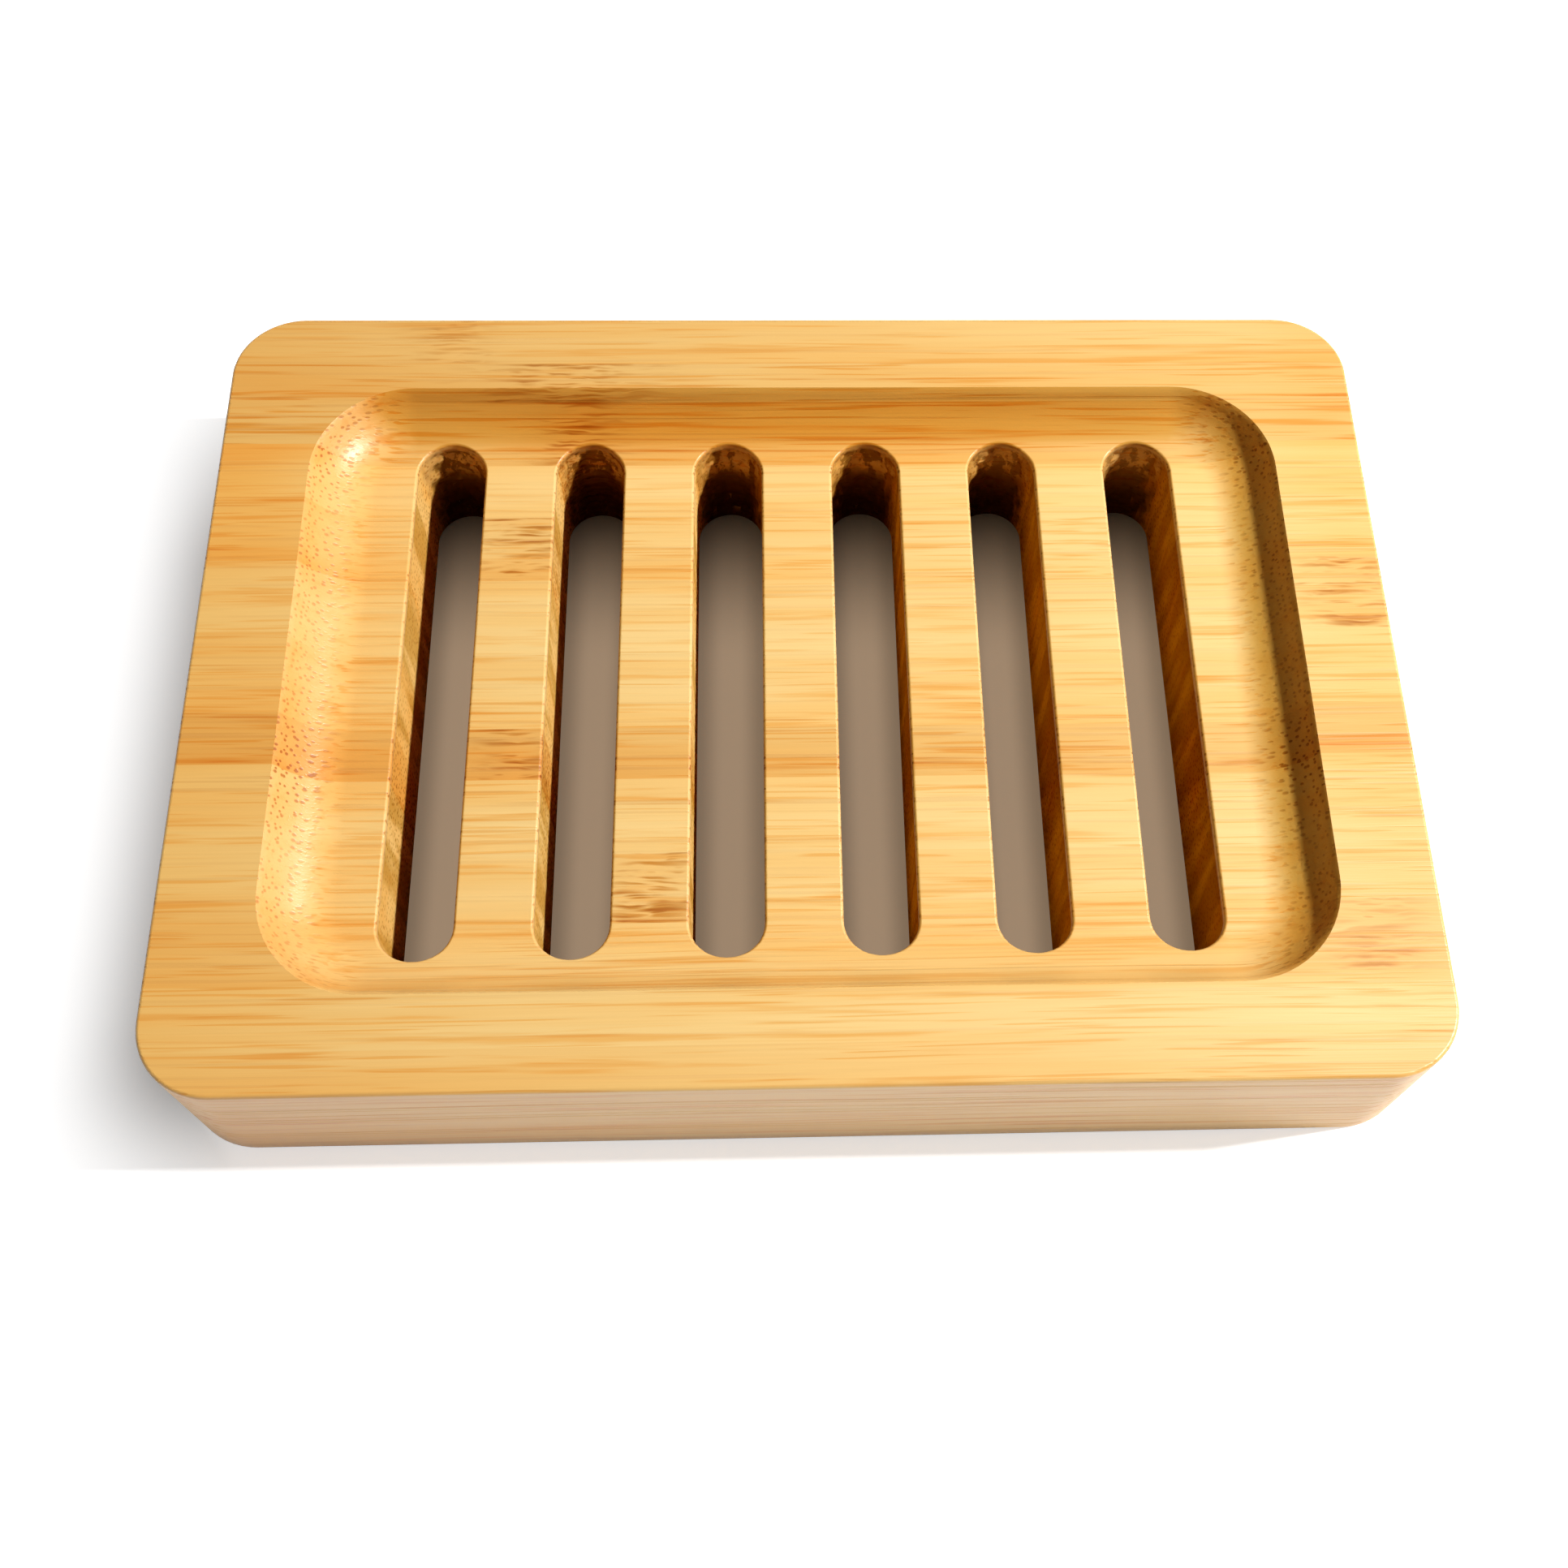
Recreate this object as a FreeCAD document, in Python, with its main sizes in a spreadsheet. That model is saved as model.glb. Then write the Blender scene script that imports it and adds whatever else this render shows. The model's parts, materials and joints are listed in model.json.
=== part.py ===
import FreeCAD, Part
import Sketcher
import math
import os

# Bamboo soap dish, in millimetres.
# The board is laminated from upright bamboo strips that lie along X, glued face to face from back to
# front, and is then milled: rounded outline, coved tray, and a row of drain slots across the strips.
# The slots cut the middle strips into end blocks and short bars, and each of those is a piece here.
# The origin is at the middle of the underside, with +X to the right, +Y to the back and +Z up.

SIZES = {
    # outline of the board
    "board_length": 120.0,
    "board_height": 18.0,
    "corner_radius": 7.2,
    "edge_ease": 0.4,
    # strips from back to front, whose thicknesses add up to the width of the board
    "back_edge_thickness": 6.1,
    "back_rim_thickness": 4.1,
    "back_cove_thickness": 6.2,
    "strip_04_thickness": 6.6,
    "strip_05_thickness": 7.7,
    "strip_06_thickness": 8.7,
    "strip_07_thickness": 8.5,
    "strip_08_thickness": 5.6,
    "strip_09_thickness": 7.9,
    "strip_10_thickness": 7.2,
    "front_cove_thickness": 7.2,
    "front_rim_thickness": 6.1,
    "front_edge_thickness": 4.1,
    # tray
    "rim_width": 9.5,
    "rim_ease": 0.2,
    "tray_depth": 4.2,
    "cove_radius": 6.5,
    "floor_corner_radius": 4.0,
    # drain slots
    "slot_width": 7.2,
    "slot_side_inset": 10.15,
    "slot_end_inset": 4.3,
    "slot_ease": 0.3,
    # length by which a cut or a blank runs past what it meets
    "overrun": 5.0,
}
SLOT_COUNT = 6

# strips from back to front, and whether the slots cut them into blocks and bars
STRIPS = [
    ("back_edge", False),
    ("back_rim", False),
    ("back_cove", False),
    ("strip_04", True),
    ("strip_05", True),
    ("strip_06", True),
    ("strip_07", True),
    ("strip_08", True),
    ("strip_09", True),
    ("strip_10", True),
    ("front_cove", False),
    ("front_rim", False),
    ("front_edge", False),
]

# The slab that breaks the rim's edge leans by half a right angle. Its base lies inside the cove and
# below the rim, and its height runs past the top of the board, all as multiples of the rim's ease.
RIM_LEAN = 45
RIM_CUTTER_INSET = 2
RIM_CUTTER_DEPTH = 3
RIM_CUTTER_HEIGHT = 4

# smallest difference that counts when edges are picked by where they lie, as a share of the slot width
PICK_SHARE = 1e-5


def thickness_sum(strips):
    """Expression for the summed thickness of some strips."""
    return "(" + " + ".join(f"Sizes.{name}_thickness" for name, crossed in strips) + ")"


# sizes that follow from the sheet, as expressions
BOARD_WIDTH = thickness_sum(STRIPS)
TRAY_LENGTH = "(Sizes.board_length - 2 * Sizes.rim_width)"
TRAY_WIDTH = f"({BOARD_WIDTH} - 2 * Sizes.rim_width)"
COVE_RISE = "min(Sizes.tray_depth; Sizes.cove_radius)"
COVE_REACH = f"sqrt(2 * Sizes.cove_radius * {COVE_RISE} - {COVE_RISE} ^ 2)"
COVE_SPREAD = f"(Sizes.cove_radius - {COVE_REACH})"
SLOT_LENGTH = f"({TRAY_WIDTH} - 2 * Sizes.slot_end_inset)"
FIRST_SLOT = f"({TRAY_LENGTH} / 2 - Sizes.slot_side_inset - Sizes.slot_width / 2)"
SLOT_PITCH = f"(2 * {FIRST_SLOT} / (Sizes.slot_count - 1))"

doc = FreeCAD.newDocument("soap_dish")


def make_sheet():
    """Writes the driving dimensions to the sheet, one row each."""
    sheet = doc.addObject("Spreadsheet::Sheet", "Sizes")
    for row, (name, value) in enumerate([*SIZES.items(), ("slot_count", SLOT_COUNT)], start=1):
        sheet.set(f"A{row}", name)
        sheet.set(f"B{row}", str(value))
        sheet.setAlias(f"B{row}", name)
    doc.recompute()
    return sheet


def origin_plane(body, role):
    """One of a body's own base planes."""
    return next(plane for plane in body.Origin.OriginFeatures if plane.Role == role)


def base_sketch(body, name):
    """Empty sketch on a body's XY plane."""
    sketch = body.newObject("Sketcher::SketchObject", name)
    sketch.AttachmentSupport = (origin_plane(body, "XY_Plane"), [""])
    sketch.MapMode = "FlatFace"
    return sketch


def bind(sketch, kind, *places_and_name, expression):
    """Adds a named dimension to a sketch and ties it to the sheet."""
    *places, name = places_and_name
    index = sketch.addConstraint(Sketcher.Constraint(kind, *places, 1.0))
    sketch.renameConstraint(index, name)
    sketch.setExpression(f"Constraints.{name}", expression)


def rectangle_sketch(body, name, length, width):
    """Rectangle centred on the body's origin."""
    sketch = base_sketch(body, name)
    corners = [FreeCAD.Vector(x, y) for x, y in ((-1, -1), (1, -1), (1, 1), (-1, 1))]
    for corner in range(4):
        sketch.addGeometry(Part.LineSegment(corners[corner], corners[(corner + 1) % 4]))
    for side in range(4):
        sketch.addConstraint(Sketcher.Constraint("Coincident", side, 2, (side + 1) % 4, 1))
        sketch.addConstraint(Sketcher.Constraint("Vertical" if side % 2 else "Horizontal", side))
    sketch.addConstraint(Sketcher.Constraint("Symmetric", 0, 1, 1, 2, -1, 1))
    bind(sketch, "DistanceX", 0, 1, 0, 2, "length", expression=length)
    bind(sketch, "DistanceY", 1, 1, 1, 2, "width", expression=width)
    return sketch


def slot_sketch(body, name):
    """Outline of the leftmost slot: two straight sides with a half circle at each end."""
    sketch = base_sketch(body, name)
    right = FreeCAD.Vector(1, 0)
    ahead = FreeCAD.Vector(0, 1)
    up = FreeCAD.Vector(0, 0, 1)
    sketch.addGeometry(Part.LineSegment(right - ahead, right + ahead))
    sketch.addGeometry(Part.ArcOfCircle(Part.Circle(ahead, up, 1), 0, math.pi))
    sketch.addGeometry(Part.LineSegment(ahead - right, -ahead - right))
    sketch.addGeometry(Part.ArcOfCircle(Part.Circle(-ahead, up, 1), math.pi, 2 * math.pi))
    for side in range(4):
        sketch.addConstraint(Sketcher.Constraint("Tangent", side, 2, (side + 1) % 4, 1))
    sketch.addConstraint(Sketcher.Constraint("Equal", 1, 3))
    sketch.addConstraint(Sketcher.Constraint("Symmetric", 1, 3, 3, 3, -1))
    bind(sketch, "Radius", 1, "end_radius", expression="Sizes.slot_width / 2")
    bind(sketch, "DistanceX", 1, 3, -1, 1, "offset", expression=FIRST_SLOT)
    bind(sketch, "DistanceY", 3, 3, 1, 3, "straight", expression=f"{SLOT_LENGTH} - Sizes.slot_width")
    return sketch


def pad(body, sketch, name, length):
    """Raises a sketch from its plane."""
    feature = body.newObject("PartDesign::Pad", name)
    feature.Profile = sketch
    feature.setExpression("Length", length)
    doc.recompute()
    return feature


def fillet(body, base, name, edges, radius):
    """Rounds some edges of the feature before it."""
    feature = body.newObject("PartDesign::Fillet", name)
    feature.Base = (base, edges)
    feature.setExpression("Radius", radius)
    doc.recompute()
    return feature


def edges_where(feature, test):
    """Names of a feature's edges that pass a test."""
    return [f"Edge{number}" for number, edge in enumerate(feature.Shape.Edges, start=1) if test(edge)]


def edge_points(edge):
    """Both ends of an edge and its middle."""
    middle = edge.valueAt((edge.FirstParameter + edge.LastParameter) / 2)
    return [vertex.Point for vertex in edge.Vertexes] + [middle]


def spread(edge, axis):
    """How far an edge reaches along one axis, judged by its ends and middle."""
    places = [getattr(point, axis) for point in edge_points(edge)]
    return max(places) - min(places)


def make_tray_cutter():
    """Body that the tray is cut with: a deep rounded block whose lower edges are rounded to the cove."""
    body = doc.addObject("PartDesign::Body", "tray_cutter")
    length = f"{TRAY_LENGTH} + 2 * {COVE_SPREAD}"
    width = f"{TRAY_WIDTH} + 2 * {COVE_SPREAD}"
    outline = rectangle_sketch(body, "cutter_outline", length, width)
    block = pad(body, outline, "cutter_block", "Sizes.tray_depth + Sizes.cove_radius")
    upright = edges_where(block, lambda edge: spread(edge, "x") < pick and spread(edge, "y") < pick)
    corners = fillet(body, block, "cutter_corners", upright, "Sizes.floor_corner_radius + Sizes.cove_radius")
    lower = edges_where(corners, lambda edge: max(point.z for point in edge_points(edge)) < pick)
    fillet(body, corners, "cutter_cove", lower, "Sizes.cove_radius")
    body.setExpression("Placement.Base.z", "Sizes.board_height - Sizes.tray_depth")
    doc.recompute()
    return body


def make_rim_cutter():
    """Body that breaks the edge of the tray: a rounded slab whose sides lean outwards."""
    body = doc.addObject("PartDesign::Body", "rim_cutter")
    inset = f"{RIM_CUTTER_INSET} * Sizes.rim_ease"
    length = f"{TRAY_LENGTH} - 2 * {inset}"
    width = f"{TRAY_WIDTH} - 2 * {inset}"
    outline = rectangle_sketch(body, "slab_outline", length, width)
    slab = pad(body, outline, "slab", f"{RIM_CUTTER_HEIGHT} * Sizes.rim_ease")
    upright = edges_where(slab, lambda edge: spread(edge, "x") < pick and spread(edge, "y") < pick)
    corner = f"Sizes.floor_corner_radius + {COVE_REACH} - {inset}"
    corners = fillet(body, slab, "slab_corners", upright, corner)
    sides = [
        f"Face{number}" for number, face in enumerate(corners.Shape.Faces, start=1)
        if face.BoundBox.ZLength > pick
    ]
    lean = body.newObject("PartDesign::Draft", "leaning_sides")
    lean.Base = (corners, sides)
    lean.NeutralPlane = (origin_plane(body, "XY_Plane"), [""])
    lean.Angle = RIM_LEAN
    lean.Reversed = True
    body.setExpression("Placement.Base.z", f"Sizes.board_height - {RIM_CUTTER_DEPTH} * Sizes.rim_ease")
    doc.recompute()
    return body


def on_slot_wall(point):
    """True for a point on the wall of a slot."""
    pitch = measure(SLOT_PITCH)
    first = -measure(FIRST_SLOT)
    centre = first + pitch * round((point.x - first) / pitch)
    straight = (measure(SLOT_LENGTH) - measure("Sizes.slot_width")) / 2
    past = max(abs(point.y) - straight, 0)
    return abs(math.hypot(point.x - centre, past) - measure("Sizes.slot_width") / 2) < pick


def on_slot_mouth(edge):
    """True for an edge around the upper or lower mouth of a slot."""
    upright = spread(edge, "x") < pick and spread(edge, "y") < pick
    return not upright and all(on_slot_wall(point) for point in edge_points(edge))


def make_board():
    """The milled board, before it is divided into its strips."""
    body = doc.addObject("PartDesign::Body", "board")
    outline = rectangle_sketch(body, "board_outline", "Sizes.board_length", BOARD_WIDTH)
    block = pad(body, outline, "board_block", "Sizes.board_height")
    upright = edges_where(block, lambda edge: spread(edge, "x") < pick and spread(edge, "y") < pick)
    corners = fillet(body, block, "board_corners", upright, "Sizes.corner_radius")
    level = edges_where(corners, lambda edge: spread(edge, "z") < pick)
    eased = fillet(body, corners, "eased_outline", level, "Sizes.edge_ease")

    cutters = [make_tray_cutter(), make_rim_cutter()]
    tray = body.newObject("PartDesign::Boolean", "tray")
    tray.Type = "Cut"
    tray.setObjects(cutters)
    doc.recompute()
    expect_less(tray, eased)

    slot = body.newObject("PartDesign::Pocket", "slot")
    slot.Profile = slot_sketch(body, "slot_outline")
    slot.Reversed = True
    slot.setExpression("Length", "Sizes.board_height + Sizes.overrun")
    doc.recompute()
    expect_less(slot, tray)

    row = body.newObject("PartDesign::LinearPattern", "slot_row")
    row.Originals = [slot]
    row.Direction = (slot.Profile[0], ["H_Axis"])
    row.setExpression("Length", f"2 * {FIRST_SLOT}")
    row.setExpression("Occurrences", "Sizes.slot_count")
    body.Tip = row
    doc.recompute()
    expect_less(row, slot)
    mouths = fillet(body, row, "eased_slots", edges_where(row, on_slot_mouth), "Sizes.slot_ease")
    expect_less(mouths, row)
    return body


def expect_less(feature, before):
    """Stops the build if a cut took nothing away."""
    if feature.Shape.Volume >= before.Shape.Volume:
        raise RuntimeError(f"{feature.Label} cut nothing")


def make_piece(board, name, left, right, front, back):
    """One piece: what a blank with these four sides, as expressions, takes out of the board."""
    blank = doc.addObject("Part::Box", f"{name}_blank")
    blank.setExpression("Length", f"({right}) - ({left})")
    blank.setExpression("Width", f"({back}) - ({front})")
    blank.setExpression("Height", "Sizes.board_height + 2 * Sizes.overrun")
    blank.setExpression("Placement.Base.x", left)
    blank.setExpression("Placement.Base.y", front)
    blank.setExpression("Placement.Base.z", "-Sizes.overrun")
    piece = doc.addObject("Part::Common", name)
    piece.Label = name
    piece.Base = board
    piece.Tool = blank
    return piece


def make_pieces(board):
    """Every strip from back to front, with the strips that the slots cross as end blocks and bars."""
    past_end = "(Sizes.board_length / 2 + Sizes.overrun)"
    past_side = f"({BOARD_WIDTH} / 2 + Sizes.overrun)"
    slot_lines = [f"{SLOT_PITCH} * {number} - {FIRST_SLOT}" for number in range(SLOT_COUNT)]
    pieces = []
    for number, (name, crossed) in enumerate(STRIPS):
        last = number == len(STRIPS) - 1
        back = f"{BOARD_WIDTH} / 2 - {thickness_sum(STRIPS[:number])}" if number else past_side
        front = f"-{past_side}" if last else f"{BOARD_WIDTH} / 2 - {thickness_sum(STRIPS[:number + 1])}"
        if not crossed:
            pieces.append(make_piece(board, f"{name}_strip", f"-{past_end}", past_end, front, back))
            continue
        sides = [f"-{past_end}", *slot_lines, past_end]
        for place, (left, right) in enumerate(zip(sides, sides[1:])):
            if place == 0:
                part_name = f"{name}_left_end"
            elif place == SLOT_COUNT:
                part_name = f"{name}_right_end"
            else:
                part_name = f"{name}_bar_{place}"
            pieces.append(make_piece(board, part_name, left, right, front, back))
    doc.recompute()
    return pieces


def check(pieces, board):
    """Stops the build if anything failed, or if the pieces don't add up to the board."""
    for item in doc.Objects:
        if "Invalid" in item.State or "Error" in item.State:
            raise RuntimeError(f"{item.Label} failed")
    for piece in pieces:
        if piece.Shape.isNull() or not piece.Shape.isValid() or not piece.Shape.Solids:
            raise RuntimeError(f"{piece.Label} is not a valid solid")
    total = sum(piece.Shape.Volume for piece in pieces)
    if abs(total - board.Shape.Volume) > PICK_SHARE * board.Shape.Volume:
        raise RuntimeError("the pieces don't add up to the board")
    solids = sum(len(piece.Shape.Solids) for piece in pieces)
    print(f"{len(pieces)} pieces, {solids} solids, {total:.0f} cubic millimetres")


sheet = make_sheet()


def measure(expression):
    """Present value of an expression on the sheet."""
    return float(sheet.evalExpression(expression))


pick = measure("Sizes.slot_width") * PICK_SHARE
board = make_board()
pieces = make_pieces(board)
check(pieces, board)
os.makedirs("parts", exist_ok=True)
for piece in pieces:
    piece.Shape.exportStep(f"parts/{piece.Label}.step")
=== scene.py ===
"""Bamboo soap dish: its glued strips, blocks and bars with their grain, and the stage they stand on.

Lengths are in metres unless a name or a comment says otherwise. +X runs along the strips, +Y to the back,
+Z up.
"""
import json
import math

import bmesh
import bpy
from bpy.props import FloatProperty, FloatVectorProperty, IntProperty, PointerProperty
from mathutils import Matrix, Vector


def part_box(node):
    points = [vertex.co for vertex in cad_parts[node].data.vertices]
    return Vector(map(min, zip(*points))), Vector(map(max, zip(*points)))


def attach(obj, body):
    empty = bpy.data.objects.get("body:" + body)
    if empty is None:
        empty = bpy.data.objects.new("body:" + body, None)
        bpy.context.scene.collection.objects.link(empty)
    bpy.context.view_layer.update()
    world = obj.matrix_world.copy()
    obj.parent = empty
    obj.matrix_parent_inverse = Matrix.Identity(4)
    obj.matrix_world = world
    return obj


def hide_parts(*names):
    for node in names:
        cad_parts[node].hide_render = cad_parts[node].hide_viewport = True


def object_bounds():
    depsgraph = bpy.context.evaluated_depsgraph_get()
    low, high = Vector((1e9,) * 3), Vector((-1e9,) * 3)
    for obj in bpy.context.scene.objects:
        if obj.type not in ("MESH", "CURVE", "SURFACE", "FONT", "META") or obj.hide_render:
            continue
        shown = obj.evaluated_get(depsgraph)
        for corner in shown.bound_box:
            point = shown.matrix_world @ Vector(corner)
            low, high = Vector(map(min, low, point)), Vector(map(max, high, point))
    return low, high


bl_info = {
    "name": "Bamboo soap dish",
    "version": (1, 0, 0),
    "blender": (4, 5, 0),
    "location": "3D View > Sidebar > Soap dish",
    "description": "Finishes a soap dish of glued bamboo strips and sets the stage for it",
    "category": "Add Mesh",
}

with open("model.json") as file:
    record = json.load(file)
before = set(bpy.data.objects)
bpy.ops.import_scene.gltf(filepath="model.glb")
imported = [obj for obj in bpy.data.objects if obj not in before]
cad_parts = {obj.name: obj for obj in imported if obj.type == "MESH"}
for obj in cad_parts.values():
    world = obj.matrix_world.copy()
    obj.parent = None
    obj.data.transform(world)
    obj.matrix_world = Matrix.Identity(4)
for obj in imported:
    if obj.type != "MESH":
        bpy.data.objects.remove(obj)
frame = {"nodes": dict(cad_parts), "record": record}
CAD_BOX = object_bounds()
BODY = "root"
MM = 0.001
MATERIAL_SLOTS = {part["node"]: part["material_slot"] for part in frame["record"]["subparts"]}

# drain slots, as the board is milled: the outer ones lie two and a half pitches from the middle
SLOT_PITCH = 14.7 * MM
SLOT_RADIUS = 3.6 * MM
SLOT_STRAIGHT_HALF = 25.6 * MM
OUTER_SLOT = 2.5
HALF_STEP = 0.5

# heights between which the slot walls are torn, and half the sides of a box just round the tray
TORN_FROM = 0.5 * MM
TORN_TO = 13.3 * MM
TRAY_HALF = (51.0 * MM, 34.0 * MM)

# mesh of the pieces: what counts as one spot, as flat, as upright and as a wall, and the sharpest soft edge
SAME_SPOT = 0.001 * MM
CUT_SLACK = 0.0001 * MM
FLAT_ANGLE = math.radians(0.05)
UPRIGHT_LIMIT = 0.2
WALL_SLACK = 0.05 * MM
SOFT_ANGLE = math.radians(28)

# tears: how they fade with the distance from the wall and with the height, and their noise levels
TEAR_FADE_OUT = (0.02 * MM, 0.2 * MM)
TEAR_FADE_UP = 1.0 * MM
TEAR_LEVELS = (0.25, 0.75)

# grain: cells per millimetre along X, Y and Z, noise levels between which a pattern rises, and how much
# of it shows
GRAIN_SHIFT = (113.7, 7.9, 41.3)
NOISE_MIDDLE = 0.5
DRIFT_PER_MM, DRIFT_REACH = (0.017, 0.03, 0.03), (0.0, 1.0, 2.4)
FIBRE_PER_MM, FIBRE_LIGHT, FIBRE_DARK = (0.04, 4.2, 4.2), 0.12, 0.94
STREAK_PER_MM, STREAK_LEVELS, STREAK_SHARE = (0.034, 1.1, 1.1), (0.52, 0.68), 0.75
LINE_PER_MM, LINE_LEVELS, LINE_SHARE = (0.045, 3.0, 3.0), (0.59, 0.68), 0.70
TONE_PER_MM, TONE_LEVELS, TONE_SHARE = (0.013, 0.24, 0.18), (0.42, 0.66), 0.50
SKIN_FALL, SKIN_SHARE = 3.0, 0.5

# fibre bundles: how many per millimetre, their radius and its spread in cells, the soft edge in radii, how
# strong they are deep inside the cane, and how much they show where the surface runs along them
BUNDLES_PER_MM = 1.45
BUNDLE_RADIUS, BUNDLE_SPREAD = 0.18, 0.12
BUNDLE_EDGE = (0.5, 1.15)
BUNDLE_INSIDE = 0.55
BUNDLE_ALONG = 0.20

# how far the surface faces along the fibres where it starts and ends to be cut, on the coves and on the
# board's ends, and how much of the streaks a cut hides
CUT_FACING = (0.12, 0.70)
BOARD_END_FACING = (0.45, 0.95)
CUT_HIDES = 0.75

# joint marks: how the dashes drift and wander, their cells per millimetre, size and soft edge, the brown
# haze between them and the pale swelling
MARK_DRIFT_PER_MM, MARK_DRIFT_REACH, MARK_WANDER = (0.2, 0.5, 0.5), (0.0, 1.0, 1.0), 0.8
DASHES_PER_MM = ((0.085, 1.4, 1.4), (0.15, 2.5, 2.5), (0.12, 1.9, 1.9))
DASH_RADIUS, DASH_SPREAD = 0.16, 0.32
DASH_EDGE = (0.5, 1.3)
MARK_HAZE = 0.22
SWELLING, SWELLING_FALL = 0.16, 3.0

# slot walls: how upright they are, how they end at the mouths and how far they reach round the slots
WALL_FACING = (0.3, 0.7)
MOUTH_STEP = (TORN_TO - 0.6 * MM, TORN_TO + 0.2 * MM)
SLOTS_HALF_X = SLOT_PITCH * (OUTER_SLOT + HALF_STEP)
SLOTS_HALF_Y = SLOT_STRAIGHT_HALF + 1.5 * SLOT_RADIUS
# which way the slot walls face where painted shade falls on them, and the bands on the walls
SHADED_FACING = (-0.8, -0.3)
BAND_PER_MM, BAND_LEVELS = (0.02, 0.33, 0.04), (0.42, 0.58)

# round slot ends: how they face, their pale patches of painted light, where the rough ends catch the lamp,
# with the heights in millimetres where these begin, and two coats of painted shadow, darker towards the
# bottom, each with two heights in millimetres and how much is left at the upper one
SLOT_END_FACING = (0.2, 0.9)
PATCH_PER_MM, PATCH_LEVELS, PATCH_HEIGHTS = (0.8, 0.8, 0.45), (0.46, 0.54), (7.5, 10.5)
PATCH_PALE = 0.9
END_SHADOW_COATS = ((6.0, 12.8, 0.55), (2.0, 11.0, 0.0))

# coves: how they face where they are steep, and the heights over which they rise from the tray's floor
# the steep back and right coves, which face away from the lamp, get painted shade, and the left cove, which
# faces it, painted light
STEEP_FACING = (-0.50, -0.05)
COVE_HEIGHTS = (TORN_TO, TORN_TO + 0.6 * MM)
COVE_DULL = 0.9

# oiled surface: how the fibre and the bundles change its roughness and its height
FIBRE_ROUGH, BUNDLE_ROUGH = 0.14, 0.12
FIBRE_HEIGHT, BUNDLE_HEIGHT, LINE_HEIGHT = 0.6, -0.7, -0.3
RELIEF_STRENGTH = 0.6

# floor and backdrop: corner of the footprint, glow under, left of and beside the dish, the floor's colour,
# how pale it is under the dish, how far it lies below the dish, and how bright the backdrop is overhead
WHITE = (1.0, 1.0, 1.0, 1.0)
FOOT_CORNER = 7.2 * MM
# the warm glow under the dish is painted light on the ground seen through the slots, and the darker floor
# there is painted shade
GLOW_UNDER = 0.29
UNDER_COLOUR = (1.0, 0.71, 0.47)
GLOW_LEFT = 0.11
GLOW_BESIDE = 0.62
FLOOR_COLOUR = (0.88, 0.88, 0.88)
FLOOR_SHADE_UNDER = 0.15
FLOOR_GAP = 0.02 * MM
OVERHEAD = 0.15
BACKDROP_RISE = (0.12, 0.55)

# where the floor's glow changes, from the dish's left, front and back sides, from its outline, and under it
# from the back ends of the slots and, in slot radii, from their middle lines
LEFT_STEP = (-6.0 * MM, 6.0 * MM)
FRONT_STEP = (-4.0 * MM, 12.0 * MM)
BACK_STEP = (-22.0 * MM, 2.0 * MM)
GLOW_REACH = 16.0 * MM
OUTSIDE_STEP = (-1.5 * MM, -0.5 * MM)
# under the dish the glow fades towards the slots' back ends and their walls, as painted shade
SLOT_BACK_STEP = (-16.0 * MM, 6.0 * MM)
SLOT_SIDE_STEP, SLOT_SIDE_GLOW = (0.2, 1.0), (1.1, 0.68)
SPECKLES_PER_M = (900.0, 900.0, 900.0)
SPECKLE_LIGHT, SPECKLE_DARK = 0.02, 0.99

# lamps: azimuth from +X and elevation in degrees, and distance and size of the soft one
KEY_DIRECTION = (3.0, 49.0)
SOFT_DIRECTION = (-42.0, 42.0)
SOFT_DISTANCE = 0.8
SOFT_SIZE = 0.5

# camera: sensor and lens in millimetres, shift in sensor widths, place in millimetres, and turns in degrees
# about Z, X and its own axis
SENSOR = 36.0
LENS = 41.957
LENS_SHIFT = (-0.04045, -0.02364)
NEAREST_SEEN = 0.005
CAMERA_PLACE_MM = (-2.751, -87.194, 177.219)
CAMERA_TURNS = ((-5.245, "Z"), (26.163, "X"), (4.124, "Z"))
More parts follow.
